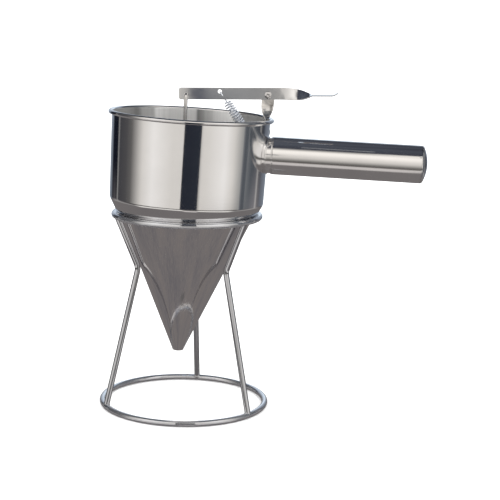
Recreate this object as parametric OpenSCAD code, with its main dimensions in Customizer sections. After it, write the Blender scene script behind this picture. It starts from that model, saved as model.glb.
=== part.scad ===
// Hand-held batter dispenser on a wire stand.
// The origin is on the stand's axis, on the table. +X points along the handle.
// The hopper leans a little in its ring under the handle's weight, so its pieces
// are drawn upright around the middle of the seat ring and leaned together.

/* [Stand] */
// Diameter of the stand's wire
wire_d = 6; // [4:0.5:8]
// Outer diameter of the ring on the table
base_d = 174; // [164:1:200]
// Height of the seat ring's wire centre above the table
seat_z = 197.5; // [190:0.5:230]
// How far the seat ring's wire centre lies inside the cup's lower corner
seat_inset = 4.1; // [3.6:0.1:5]
// How far each leg's knee lies inside the seat ring's wire centre
knee_inset = 20.7; // [15:0.1:21.5]
// Height of the knees above the table
knee_z = 145; // [125:1:147]
// Bend radius of the knees, to the wire's centre
knee_bend = 9; // [6:0.5:14]
// Turn of the three legs about the axis
leg_turn = -4.5; // [-20:0.5:20]

/* [Cup] */
// Outer diameter over the rolled rim
rim_d = 166; // [160:1:174]
// Diameter of the rolled edge itself
bead_d = 4.4; // [3.6:0.2:6]
// Thickness of the cup's sheet
cup_wall = 0.8; // [0.6:0.1:1.2]
// Height of the straight wall, from its lower corner to the rim's top
cup_h = 87.2; // [80:0.2:100]
// How much the wall draws in from the rim to its lower corner
cup_draft = 1.6; // [0.5:0.1:2.5]
// Outer fillet at the cup's lower corner
corner_r = 5; // [3:0.5:8]
// Height of the cup's lower corner above the seat ring's wire centre
shoulder_h = 15.4; // [14:0.2:18]
// How far the shoulder's lower lip is turned in against the cone
lip_turn = 0.75; // [0.5:0.05:1]

/* [Cone] */
// Depth of the outlet below the seat ring's wire centre
cone_drop = 141.8; // [130:0.2:150]
// Outer diameter of the cone where its tip is turned in
tip_d = 12; // [11:0.1:15]
// Bore of the outlet
outlet_d = 8.4; // [7:0.1:9]
// Thickness of the cone's sheet
cone_wall = 0.8; // [0.6:0.1:1]
// Lean of the hopper towards its handle
lean = 2.3; // [0:0.1:3]

/* [Handle] */
// Outer diameter of the grip tube
handle_d = 38; // [32:0.5:42]
// Length from the rounded shoulder by the cup to the far end
handle_len = 156.8; // [120:0.2:180]
// Depth of the handle's axis below the rim's top
handle_depth = 37.4; // [34:0.2:44]
// Rise of the handle above a right angle to the cup's axis
handle_rise = 0.6; // [0:0.1:3]
// Thickness of the tube and of its end
tube_wall = 1.2; // [0.8:0.1:1.6]
// Gap between the cup's wall and the rounded shoulder
neck_len = 3.2; // [2.6:0.1:6]
// How much slimmer the neck is than the tube, on its radius
neck_step = 1.5; // [1.2:0.1:3]
// Radius of the rounded shoulder
shoulder_round = 4; // [3.2:0.2:6]
// Radius of the knuckle round the dished end
end_knuckle = 3; // [2:0.2:5]
// Radius of the dished end's crown
end_crown = 40; // [28:1:70]
// Bore of the vent in the grip
vent_d = 1.7; // [1:0.1:2.5]
// Turn of the vent above the level, on the near side
vent_turn = 28.6; // [0:0.1:60]

/* [Thumb lever] */
// Width of the lever's strip
strip_w = 12; // [11:0.5:13.5]
// Thickness of the lever's strip
strip_t = 1.2; // [1:0.1:1.6]
// Height of the pivot above the rim's top
pivot_h = 23; // [21:0.5:30]
// How far the pivot lies inside the cup's inner wall
pivot_inset = 3.5; // [3:0.1:5]
// How far the pivot lies below the middle of the strip
pivot_drop = 1.5; // [0:0.1:1.8]
// Rise of the lever towards the thumb at rest
lever_rise = 3.8; // [0:0.1:6]
// Distance from the pivot to the rod's hole
rod_arm = 82.1; // [78:0.1:84]
// Strip beyond the rod's hole
lever_end = 7.5; // [6:0.1:10]
// Distance from the pivot to the spring's hole
hook_arm = 48.4; // [42:0.1:54]
// Height of the spring's hole above the middle of the strip
hook_rise = 2.1; // [0:0.1:2.6]
// Distance from the pivot to the start of the quarter twist
twist_start = 27.2; // [20:0.1:40]
// Length of the quarter twist
twist_len = 16.6; // [14:0.1:24]
// Height that the strip's middle loses along the twist
twist_drop = 1.8; // [0:0.1:3]
// Flat length of the thumb pad
pad_len = 19; // [14:0.5:30]
// Bend radius of the pad's turned up tip
tip_bend = 9.8; // [8:0.1:14]
// Angle of the pad's turned up tip
tip_turn = 42; // [32:1:60]

/* [Bracket and rivets] */
// Width of the bracket's strip
bracket_w = 12.6; // [11.4:0.1:13.6]
// Height above the rim's top at which the bracket faces the lever
leaf_h = 13.9; // [11:0.1:14.5]
// Depth below the rim's top at which the bracket faces the wall
leaf_depth = 4.5; // [3:0.1:7]
// Length of the joggle from there out to the wall
joggle_len = 6.5; // [5:0.1:9]
// Length of the bracket's leg on the wall
bracket_leg = 15; // [13:0.5:24]
// Distance of the wall rivet below the joggle
wall_rivet_drop = 3; // [2.8:0.1:6]
// Diameter of both rivets' shanks
rivet_d = 4; // [3:0.1:4.4]
// Diameter of the pivot rivet's heads
pivot_head_d = 7.4; // [6.6:0.1:9]
// Diameter of the wall rivet's heads
wall_head_d = 5.2; // [5:0.1:5.6]
// Height of the rivets' heads
head_h = 1.3; // [1:0.1:1.6]
// Thickness of the pivot's washer
washer_t = 0.8; // [0.5:0.1:1.5]
// Outer diameter of the pivot's washer
washer_d = 9; // [7.5:0.1:10.5]

/* [Valve] */
// Diameter of the valve's rod
rod_d = 4; // [3.2:0.1:4.6]
// Bend radius at the rod's top, to its centre
rod_bend = 3; // [2.8:0.1:5]
// Height of the middle of the plug's face above the outlet
seat_rise = 8.8; // [8:0.1:12]
// Height of the plug's sloping face
plug_h = 10; // [8:0.5:12]
// Depth of the rod's socket in the plug
socket_depth = 12; // [9:0.5:13]
// Thickness of the rod's clip
clip_t = 1; // [0.8:0.1:2]
// Outer diameter of the rod's clip
clip_d = 8; // [7.2:0.1:10]

/* [Spring] */
// Diameter of the spring's wire
coil_wire = 1.1; // [0.9:0.05:1.3]
// Outer diameter of the coil
coil_d = 8.7; // [7.5:0.1:10]
// Pitch of the stretched coil
coil_pitch = 3.5; // [3:0.1:5]
// Distance from the lever's hole to the coil
top_shank = 15.5; // [14.5:0.1:20]
// Distance from the anchor's hole to the coil
foot_shank = 9; // [8.5:0.1:12]
// Diameter of the holes that the spring hooks into
hook_hole_d = 4; // [3.8:0.1:4.4]
// Depth of the anchor's hole below the rim's top
anchor_depth = 36.7; // [34:0.1:44]
// How far the anchor's hole lies inside the cup's inner wall
anchor_reach = 6.4; // [6:0.1:10]

/* [Hidden] */

// Clearances
overrun = 1;
weld_gap = 0.03;
press_gap = 0.01;
running_gap = 0.06;
rest_gap = 0.4;
side_gap = 0.3;
side_play = 0.15;
hook_gap = 0.5;
lap = 0.5;

// Angles and smoothness
quarter = 90;
full_turn = 360;
round_fn = 96;
small_fn = 48;

// Stand
wire_r = wire_d / 2;
base_r = base_d / 2 - wire_r;
leg_step = full_turn / 3;
back_leg_turn = quarter + leg_turn;

// Cup, in heights above the seat ring's wire centre
bead_r = bead_d / 2;
cup_in_r = rim_d / 2 - bead_d;
cup_top_r = cup_in_r + cup_wall;
cup_corner_r = cup_top_r - cup_draft;
seat_r = cup_corner_r - seat_inset;
rim_top = shoulder_h + cup_h;
bead_z = rim_top - bead_r;
wall_slope = cup_draft / (bead_z - shoulder_h);
wall_angle = atan(wall_slope);
seat_reach = wire_r + rest_gap;
shoulder_angle = atan(seat_inset / shoulder_h) + asin(seat_reach / norm([seat_inset, shoulder_h]));
shoulder_slope = tan(shoulder_angle);
shoulder_skin = cup_wall / cos(shoulder_angle);
lip_z = -wire_r;
seat_shift = -(seat_r - seat_reach * cos(shoulder_angle)) * shoulder_slope * tan(lean);
corner_steps = 6;
curl_gap_share = 1.5;
function wall_r(z) = cup_top_r - wall_slope * (bead_z - z);
function wall_in_r(z) = wall_r(z) - cup_wall;
function shoulder_r(z) = cup_corner_r - shoulder_slope * (shoulder_h - z);

// Cone
lip_r = shoulder_r(lip_z) - lip_turn;
cone_lip_r = lip_r - shoulder_skin - weld_gap;
tip_r = tip_d / 2;
tip_h = 2 * cone_wall;
tip_z = tip_h - cone_drop;
cone_slope = (cone_lip_r - tip_r) / (lip_z - tip_z);
cone_angle = atan(cone_slope);
cone_skin = cone_wall / cos(cone_angle);
cone_top_z = wire_r / 2;
outlet_r = outlet_d / 2;
function cone_r(z) = tip_r + cone_slope * (z - tip_z);
function cone_in_r(z) = cone_r(z) - cone_skin;

// Handle, in distances along it from the cup's axis
handle_r = handle_d / 2;
handle_z = rim_top - handle_depth;
neck_in_r = handle_r - neck_step - tube_wall;
shoulder_start = wall_r(handle_z) + neck_len;
tube_start = shoulder_start + shoulder_round;
knuckle_x = handle_r - end_knuckle;
crown_drop = sqrt(pow(end_crown - end_knuckle, 2) - knuckle_x * knuckle_x);
end_h = end_crown - crown_drop;
tube_end = shoulder_start + handle_len - end_h;
spigot_len = handle_r / 2;

// Lever and pivot
lever_y = rod_bend + side_gap + strip_t / 2;
pivot_x = cup_in_r - pivot_inset;
pivot_z = rim_top + pivot_h;
rivet_r = rivet_d / 2;
washer_y = lever_y + strip_t / 2 + side_play;
bracket_y = washer_y + washer_t + weld_gap + strip_t / 2;
edge_share = 0.2;
strip_edge = strip_t * edge_share;
hook_hole_r = hook_hole_d / 2;
rod_hole_r = rod_d / 2 + rest_gap;
rod_hole_rise = pivot_drop / 2;
tip_corner = strip_w / 3;
end_corner = strip_w / 6;
pad_start = twist_start + twist_len;
pad_end = pad_start + pad_len;
pad_rise = pivot_drop - twist_drop;
corner_turn = 15;
twist_steps = 16;
tip_steps = 5;
function on_lever(along, across) = [
  pivot_x + along * cos(lever_rise) - across * sin(lever_rise),
  pivot_z + along * sin(lever_rise) + across * cos(lever_rise)
];
rod_hole = on_lever(-rod_arm, rod_hole_rise);
hook_hole = on_lever(-hook_arm, pivot_drop + hook_rise);

// Bracket, in heights above the seat ring's wire centre
leaf_top_z = rim_top + leaf_h;
leaf_foot_z = rim_top - leaf_depth;
leg_top_z = leaf_foot_z - joggle_len;
leg_foot_z = leg_top_z - bracket_leg;
wall_rivet_z = leg_top_z - wall_rivet_drop;
bracket_r = bracket_w / 2;
leaf_steps = 16;
joggle_steps = 8;
head_edge_share = 0.3;
dimple_share = 0.6;

// Valve
rod_r = rod_d / 2;
plug_z = seat_rise - cone_drop;
rod_tilt = atan(rod_hole[0] / (rod_hole[1] - plug_z));
rod_len = norm([rod_hole[0], rod_hole[1] - plug_z]);
nose_h_share = 0.2;
nose_r_share = 0.5;
land_share = 0.15;
boss_h_share = 0.7;
boss_wall_share = 0.75;
boss_top = plug_h * (1 / 2 + boss_h_share);
socket_foot = boss_top - socket_depth;
clip_y = lever_y + strip_t / 2 + side_gap;
pin_end_y = clip_y + 2 * clip_t;

// Spring, in distances from the anchor's hole towards the lever's
coil_wire_r = coil_wire / 2;
coil_r = coil_d / 2 - coil_wire_r;
hook_bend = strip_t / 2 + side_gap + coil_wire_r;
hook_seat = hook_hole_r - coil_wire_r - hook_gap;
hook_tip = 2.5 * coil_wire;
anchor_hole = [cup_in_r - anchor_reach, rim_top - anchor_depth];
spring_run = hook_hole - anchor_hole;
spring_turn = atan2(spring_run[0], spring_run[1]);
spring_len = norm(spring_run);
coil_len = spring_len - top_shank - foot_shank;
curls = round(coil_len / coil_pitch);
curl_rings = 8;
wire_sides = 6;
hook_step = 30;

function unit(v) = v / norm(v);
function ease_step(x) = x * x * (3 - 2 * x);
function share_between(z, low, high) = max(0, min(1, (z - low) / (high - low)));

// A closed skin over equal rings of points
module skin(rings) {
  sides = len(rings[0]);
  last = (len(rings) - 1) * sides;
  walls = [
    for (i = [0:len(rings) - 2], j = [0:sides - 1])
      let (a = i * sides + j, b = i * sides + (j + 1) % sides)
        each [[a, a + sides, b], [b, a + sides, b + sides]]
  ];
  near_cap = [for (j = [1:sides - 2]) [0, j, j + 1]];
  far_cap = [for (j = [1:sides - 2]) [last, last + j + 1, last + j]];
  polyhedron(points = [for (ring = rings) each ring], faces = concat(walls, near_cap, far_cap), convexity = 10);
}

// A strip's section with eased edges, square to a path in the plane of X and Z.
// A station holds the place along and up, the path's lean, the strip's turn and half its width.
function strip_ring(station) =
  let (
    lean_now = station[2],
    turn_now = station[3],
    half = station[4],
    thick = strip_t / 2,
    e = strip_edge,
    up = [-sin(lean_now), 0, cos(lean_now)],
    wide = cos(turn_now) * up + [0, sin(turn_now), 0],
    flat = -sin(turn_now) * up + [0, cos(turn_now), 0],
    section = [
      [half - e, thick], [half, thick - e], [half, e - thick], [half - e, -thick],
      [e - half, -thick], [-half, e - thick], [-half, thick - e], [e - half, thick]
    ]
  )
  [for (c = section) [station[0], 0, station[1]] + c[0] * wide + c[1] * flat];

// Half a strip's width, and the way in from its end, at an angle round its corner
function corner_half(half, corner, angle) = half - corner * (1 - sin(angle));
function corner_inset(corner, angle) = corner * (1 - cos(angle));

// The hopper's own frame, upright, from the middle of the seat ring
module in_hopper() {
  translate([seat_shift, 0, seat_z])
    rotate([0, lean, 0])
      children();
}

// Along the handle from the cup's axis
module in_handle() {
  in_hopper()
    translate([0, 0, handle_z])
      rotate([0, quarter - handle_rise, 0])
        children();
}

// Along the lever from its pivot
module in_lever() {
  in_hopper()
    translate([pivot_x, lever_y, pivot_z])
      rotate([0, -lever_rise, 0])
        children();
}

// Up the valve's rod from the middle of the plug
module in_rod() {
  in_hopper()
    translate([0, 0, plug_z])
      rotate([0, rod_tilt, 0])
        children();
}

// Backwards along Y from a place in the plane of X and Z
module along_y(x, y, z) {
  translate([x, y, z])
    rotate([-quarter, 0, 0])
      children();
}

module cross_hole(x, z, r, depth) {
  along_y(x, 0, z)
    cylinder(r = r, h = depth, center = true, $fn = small_fn);
}

module wire_ring(ring_r, r) {
  rotate_extrude($fn = round_fn)
    translate([ring_r, 0])
      circle(r = r, $fn = small_fn);
}

module stand_base_ring() {
  color("silver")
    translate([0, 0, wire_r])
      wire_ring(base_r, wire_r);
}

module stand_top_ring() {
  color("silver")
    translate([0, 0, seat_z])
      wire_ring(seat_r, wire_r);
}

// One leg in the plane of X and Z, between the rings. The wire swells a hair in its bend, and both
// straight runs start inside the bend and end inside the ring's wire, where they are coped.
module bent_leg() {
  knee = [seat_r - knee_inset, knee_z];
  down = [base_r, wire_r] - knee;
  up = [seat_r, seat_z] - knee;
  middle = unit(unit(down) + unit(up));
  half_angle = acos(unit(down) * unit(up)) / 2;
  sweep = quarter - half_angle;
  cut = knee_bend / tan(half_angle);
  centre = knee + middle * knee_bend / sin(half_angle);
  runs = [norm(up) - cut - wire_r / 2, norm(down) - cut - wire_r / 2];
  translate([centre[0], 0, centre[1]])
    rotate([0, -atan2(middle[1], middle[0]), 0]) {
      rotate([quarter, 0, 0])
        rotate([0, 0, 2 * quarter - sweep])
          rotate_extrude(angle = 2 * sweep, $fn = round_fn)
            translate([knee_bend, 0])
              circle(r = wire_r + weld_gap, $fn = small_fn);
      for (side = [0, 1])
        mirror([0, 0, side])
          rotate([0, sweep, 0])
            translate([-knee_bend, 0, -lap])
              cylinder(r = wire_r, h = runs[side] + lap, $fn = small_fn);
    }
}

// A leg is coped to both rings, where it is welded
module stand_leg(turn) {
  color("silver")
    difference() {
      rotate([0, 0, turn])
        bent_leg();
      translate([0, 0, wire_r])
        wire_ring(base_r, wire_r + weld_gap);
      translate([0, 0, seat_z])
        wire_ring(seat_r, wire_r + weld_gap);
    }
}

// The cup's lower corner, as an arc of the given radius about the fillet's centre
function corner_arc(r) =
  let (
    turn = shoulder_angle - wall_angle,
    cut = corner_r * tan(turn / 2),
    x = cup_corner_r + cut * sin(wall_angle) - corner_r * cos(wall_angle),
    z = shoulder_h + cut * cos(wall_angle) + corner_r * sin(wall_angle)
  )
  [
    for (i = [0:corner_steps])
      let (a = wall_angle + turn * i / corner_steps)
        [x + r * cos(a), z - r * sin(a)]
  ];

module cup_section() {
  inner_arc = corner_arc(corner_r - cup_wall);
  polygon(concat(
    [[cup_top_r, bead_z]],
    corner_arc(corner_r),
    [[shoulder_r(0), 0], [lip_r, lip_z], [lip_r - shoulder_skin, lip_z], [shoulder_r(0) - shoulder_skin, 0]],
    [for (i = [0:corner_steps]) inner_arc[corner_steps - i]],
    [[cup_in_r, bead_z], [cup_in_r + cup_wall / 2, bead_z + cup_wall / 2]]
  ));
}

// The sheet's edge, rolled outwards and nearly back to the wall
module rolled_rim() {
  translate([cup_in_r + bead_r, bead_z])
    difference() {
      circle(r = bead_r, $fn = small_fn);
      circle(r = bead_r - cup_wall, $fn = small_fn);
      translate([-bead_r - overrun, -bead_r - overrun])
        square([overrun + cup_wall * curl_gap_share, bead_r + overrun]);
    }
}

module hopper_cup() {
  color("gainsboro")
    in_hopper()
      difference() {
        union() {
          rotate_extrude($fn = round_fn)
            cup_section();
          rotate_extrude($fn = round_fn)
            rolled_rim();
        }
        at_wall_rivet()
          rivet_shank(leg_reach(wall_rivet_z), 4 * strip_t, press_gap);
      }
}

module hopper_cone() {
  color("darkgray")
    in_hopper()
      rotate_extrude($fn = round_fn)
        polygon([
          [cone_r(cone_top_z), cone_top_z],
          [tip_r, tip_z],
          [tip_r - cone_wall, -cone_drop],
          [outlet_r, -cone_drop],
          [outlet_r, cone_wall - cone_drop],
          [tip_r - cone_skin, tip_z],
          [cone_in_r(cone_top_z), cone_top_z]
        ]);
}

// The cup's straight wall as a solid, with its radius made larger or smaller by a gap
module wall_plug(gap) {
  translate([0, 0, shoulder_h])
    cylinder(r1 = wall_r(shoulder_h) + gap, r2 = wall_r(rim_top) + gap, h = cup_h, $fn = round_fn);
}

module ferrule_section() {
  translate([neck_in_r, 0])
    square([tube_wall, tube_start]);
  intersection() {
    translate([handle_r - shoulder_round, tube_start])
      circle(r = shoulder_round, $fn = small_fn);
    translate([neck_in_r, 0])
      square([handle_r, tube_start]);
  }
  translate([neck_in_r, tube_start])
    square([handle_r - tube_wall - press_gap - neck_in_r, spigot_len]);
}

// The neck is coped to the cup, has a rounded shoulder, and plugs into the tube
module handle_ferrule() {
  color("silver")
    difference() {
      in_handle()
        rotate_extrude($fn = round_fn)
          ferrule_section();
      in_hopper()
        wall_plug(weld_gap);
    }
}

module handle_tube() {
  color("silver")
    in_handle()
      difference() {
        translate([0, 0, tube_start])
          cylinder(r = handle_r, h = tube_end - tube_start, $fn = round_fn);
        translate([0, 0, tube_start - overrun])
          cylinder(r = handle_r - tube_wall, h = tube_end - tube_start + 2 * overrun, $fn = round_fn);
        translate([0, 0, tube_end - vent_d])
          rotate([quarter, 0, -vent_turn])
            cylinder(d = vent_d, h = handle_r + overrun, $fn = small_fn);
      }
}

// Half the outline of a dished end: a crown that runs smoothly into a knuckle
module dished_half(inset) {
  crown = end_crown - inset;
  knuckle = end_knuckle - inset;
  intersection() {
    translate([0, -crown_drop])
      circle(r = crown, $fn = round_fn);
    square([knuckle_x * crown / (crown - knuckle), end_crown]);
  }
  intersection() {
    translate([knuckle_x, 0])
      circle(r = knuckle, $fn = small_fn);
    square([handle_r, end_crown]);
  }
}

module handle_end_cap() {
  color("silver")
    in_handle()
      translate([0, 0, tube_end])
        rotate_extrude($fn = round_fn)
          difference() {
            dished_half(0);
            dished_half(tube_wall);
          }
}

// The bracket's leg lies flat on the wall, turned a little because it is off the cup's middle
function leg_reach(z) = sqrt(pow(wall_in_r(z), 2) - bracket_r * bracket_r) - weld_gap - strip_t / 2;
function leg_skew(z) = asin(bracket_y / leg_reach(z));
function bracket_station(z, half) =
  let (
    leaf = share_between(z, leaf_foot_z, leaf_top_z),
    joggle = ease_step(share_between(z, leg_top_z, leaf_foot_z)),
    leg_x = leg_reach(z) * cos(leg_skew(z))
  )
  [leg_x + (pivot_x - leg_x) * joggle, z, quarter, -(quarter + leg_skew(z)) * (1 - leaf), half];

// A strip that rises on the wall, turns its edge forward above the rim and ends round the pivot
module lever_bracket() {
  heights = concat(
    [leg_foot_z],
    [for (i = [0:joggle_steps]) leg_top_z + joggle_len * i / joggle_steps],
    [for (i = [1:leaf_steps]) leaf_foot_z + (leaf_top_z - leaf_foot_z) * i / leaf_steps]
  );
  round_top = [
    for (a = [quarter:-corner_turn:corner_turn])
      bracket_station(pivot_z + bracket_r * cos(a), bracket_r * sin(a))
  ];
  stations = concat([for (z = heights) bracket_station(z, bracket_r)], round_top);
  color("silver")
    in_hopper()
      difference() {
        translate([0, bracket_y, 0])
          skin([for (s = stations) strip_ring(s)]);
        translate([0, bracket_y, 0])
          cross_hole(pivot_x, pivot_z, rivet_r + press_gap, strip_w);
        at_wall_rivet()
          rivet_shank(leg_reach(wall_rivet_z) - 2 * strip_t, 4 * strip_t, press_gap);
      }
}

// Outwards from the cup's axis through the middle of the bracket's leg
module at_wall_rivet() {
  translate([0, 0, wall_rivet_z])
    rotate([0, quarter, leg_skew(wall_rivet_z)])
      children();
}

module rivet_shank(start, length, gap) {
  translate([0, 0, start])
    cylinder(r = rivet_r + gap, h = length, $fn = small_fn);
}

// A domed head with a short straight edge
module rivet_head(d) {
  edge = head_h * head_edge_share;
  rise = head_h - edge;
  dome_r = (d * d / 4 + rise * rise) / (2 * rise);
  cylinder(d = d, h = edge, $fn = small_fn);
  translate([0, 0, edge])
    rotate_extrude($fn = small_fn)
      intersection() {
        translate([0, rise - dome_r])
          circle(r = dome_r, $fn = round_fn);
        square([d / 2, rise]);
      }
}

module bracket_rivet() {
  head_r = wall_head_d / 2;
  inside = leg_reach(wall_rivet_z - head_r) - strip_t / 2 - press_gap;
  outside = wall_r(wall_rivet_z + head_r) + press_gap;
  color("lightgray")
    in_hopper()
      at_wall_rivet() {
        rivet_shank(inside, outside - inside, 0);
        translate([0, 0, inside])
          mirror([0, 0, 1])
            rivet_head(wall_head_d);
        translate([0, 0, outside])
          rivet_head(wall_head_d);
      }
}

// The front head has a dimple where the rivet was spun over
module pivot_rivet() {
  front = lever_y - strip_t / 2 - side_play;
  back = bracket_y + strip_t / 2 + press_gap;
  dimple_r = rivet_r * dimple_share;
  color("lightgray")
    in_hopper()
      difference() {
        along_y(pivot_x, 0, pivot_z) {
          rivet_shank(front, back - front, 0);
          translate([0, 0, front])
            mirror([0, 0, 1])
              rivet_head(pivot_head_d);
          translate([0, 0, back])
            rivet_head(pivot_head_d);
        }
        along_y(pivot_x, front - head_h - dimple_r / 2, pivot_z)
          sphere(r = dimple_r, $fn = small_fn);
      }
}

module pivot_washer() {
  color("lightgray")
    in_hopper()
      along_y(pivot_x, washer_y, pivot_z)
        difference() {
          cylinder(d = washer_d, h = washer_t, $fn = small_fn);
          translate([0, 0, -overrun])
            cylinder(r = rivet_r + running_gap, h = washer_t + 2 * overrun, $fn = small_fn);
        }
}

// A piece of strip bent to an angle: one side follows the wall, the other holds the spring
module spring_anchor() {
  half = strip_w / 2;
  back = lever_y + strip_t / 2;
  foot = -cup_wall - weld_gap;
  color("silver")
    in_hopper()
      difference() {
        union() {
          intersection() {
            difference() {
              wall_plug(foot);
              wall_plug(foot - strip_t);
            }
            translate([0, back - strip_w, anchor_hole[1] - half])
              cube([rim_d, strip_w, strip_w]);
          }
          intersection() {
            wall_plug(foot - strip_t / 2);
            union() {
              along_y(anchor_hole[0], back - strip_t, anchor_hole[1])
                cylinder(r = half, h = strip_t, $fn = small_fn);
              translate([anchor_hole[0], back - strip_t, anchor_hole[1] - half])
                cube([anchor_reach, strip_t, strip_w]);
            }
          }
        }
        translate([0, lever_y, 0])
          cross_hole(anchor_hole[0], anchor_hole[1], hook_hole_r, strip_w);
      }
}

// On edge from the rod to beyond the pivot, twisted flat into the thumb pad, its tip turned up
module lever() {
  half = strip_w / 2;
  end_x = -rod_arm - lever_end;
  end_part = [
    for (a = [corner_turn:corner_turn:quarter])
      [end_x + corner_inset(end_corner, a), pivot_drop, 0, 0, corner_half(half, end_corner, a)]
  ];
  twist_part = [
    for (i = [0:twist_steps])
      let (s = i / twist_steps)
        [twist_start + twist_len * s, pivot_drop - twist_drop * ease_step(s), 0, quarter * s, half]
  ];
  tip_arc = tip_bend * tip_turn * PI / (2 * quarter);
  before_corner = [for (i = [0:tip_steps]) [(tip_arc - tip_corner) * i / tip_steps, half]];
  round_corner = [
    for (a = [quarter - corner_turn:-corner_turn:corner_turn])
      [tip_arc - corner_inset(tip_corner, a), corner_half(half, tip_corner, a)]
  ];
  tip_part = [
    for (s = concat(before_corner, round_corner))
      let (a = tip_turn * s[0] / tip_arc)
        [pad_end + tip_bend * sin(a), pad_rise + tip_bend * (1 - cos(a)), a, quarter, s[1]]
  ];
  color("silver")
    in_lever()
      difference() {
        skin([for (s = concat(end_part, twist_part, tip_part)) strip_ring(s)]);
        cross_hole(0, 0, rivet_r + running_gap, strip_w);
        cross_hole(-rod_arm, rod_hole_rise, rod_hole_r, strip_w);
        cross_hole(-hook_arm, pivot_drop + hook_rise, hook_hole_r, strip_w);
      }
}

// The spring's centre line: hook, shank, coil, shank, hook. Each place comes with the
// direction that its ring of points starts from.
function hook_place(y, z) = [[0, y, z], [1, 0, 0]];
function coil_place(i) =
  let (
    turn = full_turn * i / curl_rings,
    r = coil_r * ease_step(min(1, i / curl_rings, curls - i / curl_rings))
  )
  [
    [r * cos(turn), hook_bend + r * sin(turn), foot_shank + coil_len * i / (curls * curl_rings)],
    [cos(turn), sin(turn), 0]
  ];
foot_centre = hook_seat + hook_bend;
top_centre = spring_len - foot_centre;
spring_path = concat(
  [hook_place(-hook_bend, foot_centre + hook_tip)],
  [for (a = [2 * quarter:hook_step:full_turn]) hook_place(hook_bend * cos(a), foot_centre + hook_bend * sin(a))],
  [for (i = [0:curls * curl_rings]) coil_place(i)],
  [for (a = [0:hook_step:2 * quarter]) hook_place(hook_bend * cos(a), top_centre + hook_bend * sin(a))],
  [hook_place(-hook_bend, top_centre - hook_tip)]
);

function spring_ring(i) =
  let (
    last = len(spring_path) - 1,
    here = spring_path[i][0],
    onward = i < last ? unit(spring_path[i + 1][0] - here) : [0, 0, 0],
    so_far = i > 0 ? unit(here - spring_path[i - 1][0]) : [0, 0, 0],
    ahead = unit(onward + so_far),
    start = spring_path[i][1],
    side = unit(start - (start * ahead) * ahead),
    across = cross(ahead, side)
  )
  [
    for (k = [0:wire_sides - 1])
      let (a = full_turn * k / wire_sides)
        here + coil_wire_r * (cos(a) * side + sin(a) * across)
  ];

least_gap = min([
  for (i = [0:len(spring_path) - 1], j = [i + wire_sides:1:len(spring_path) - 1])
    norm(spring_path[i][0] - spring_path[j][0])
]) - coil_wire;
echo(str("Least gap of the spring to itself: ", least_gap, " mm over ", curls, " curls"));

module return_spring() {
  color("gray")
    in_hopper()
      translate([anchor_hole[0], lever_y, anchor_hole[1]])
        rotate([0, spring_turn, 0])
          skin([for (i = [0:len(spring_path) - 1]) spring_ring(i)]);
}

// A straight wire with a quarter bend at its top that passes through the lever
module valve_rod() {
  bend_z = rod_len - rod_bend;
  rod_foot = socket_foot + weld_gap;
  color("silver")
    in_rod() {
      translate([0, 0, rod_foot])
        cylinder(r = rod_r, h = bend_z - rod_foot, $fn = small_fn);
      translate([0, rod_bend, bend_z])
        rotate([quarter, 0, quarter])
          rotate([0, 0, quarter])
            rotate_extrude(angle = quarter, $fn = round_fn)
              translate([rod_bend, 0])
                circle(r = rod_r, $fn = small_fn);
      along_y(0, rod_bend, rod_len)
        cylinder(r = rod_r, h = pin_end_y - rod_bend, $fn = small_fn);
    }
}

module rod_clip() {
  color("gray")
    in_hopper()
      along_y(rod_hole[0], clip_y, rod_hole[1])
        difference() {
          cylinder(d = clip_d, h = clip_t, $fn = small_fn);
          translate([0, 0, -overrun])
            cylinder(r = rod_r + press_gap, h = clip_t + 2 * overrun, $fn = small_fn);
        }
}

// The plug's face is parallel to the cone, so it closes the outlet all round
module valve_plug() {
  low = plug_z - plug_h / 2;
  high = plug_z + plug_h / 2;
  skin_gap = rest_gap / cos(cone_angle);
  low_r = cone_in_r(low) - skin_gap;
  high_r = cone_in_r(high) - skin_gap;
  land = plug_h * land_share;
  boss_r = rod_r * (1 + boss_wall_share);
  color("gray")
    difference() {
      in_hopper()
        rotate_extrude($fn = small_fn)
          polygon([
            [0, low - plug_h * nose_h_share],
            [low_r * nose_r_share, low - plug_h * nose_h_share],
            [low_r, low],
            [high_r, high],
            [high_r - land, high + land],
            [boss_r, high + land],
            [boss_r, plug_z + boss_top],
            [0, plug_z + boss_top]
          ]);
      in_rod()
        translate([0, 0, socket_foot])
          cylinder(r = rod_r + press_gap, h = socket_depth + overrun, $fn = small_fn);
    }
}

stand_base_ring();
stand_top_ring();
stand_leg(back_leg_turn + leg_step);  // stand_leg_left
stand_leg(back_leg_turn - leg_step);  // stand_leg_right
stand_leg(back_leg_turn);  // stand_leg_back
hopper_cup();
hopper_cone();
handle_ferrule();
handle_tube();
handle_end_cap();
lever_bracket();
bracket_rivet();
spring_anchor();
pivot_rivet();
pivot_washer();
lever();
return_spring();
valve_rod();
rod_clip();
valve_plug();
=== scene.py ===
from math import acos, asin, atan, atan2, cos, degrees, hypot, pi, radians, sin, sqrt, tan
import bmesh
import bpy
from mathutils import Matrix, Vector


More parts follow.
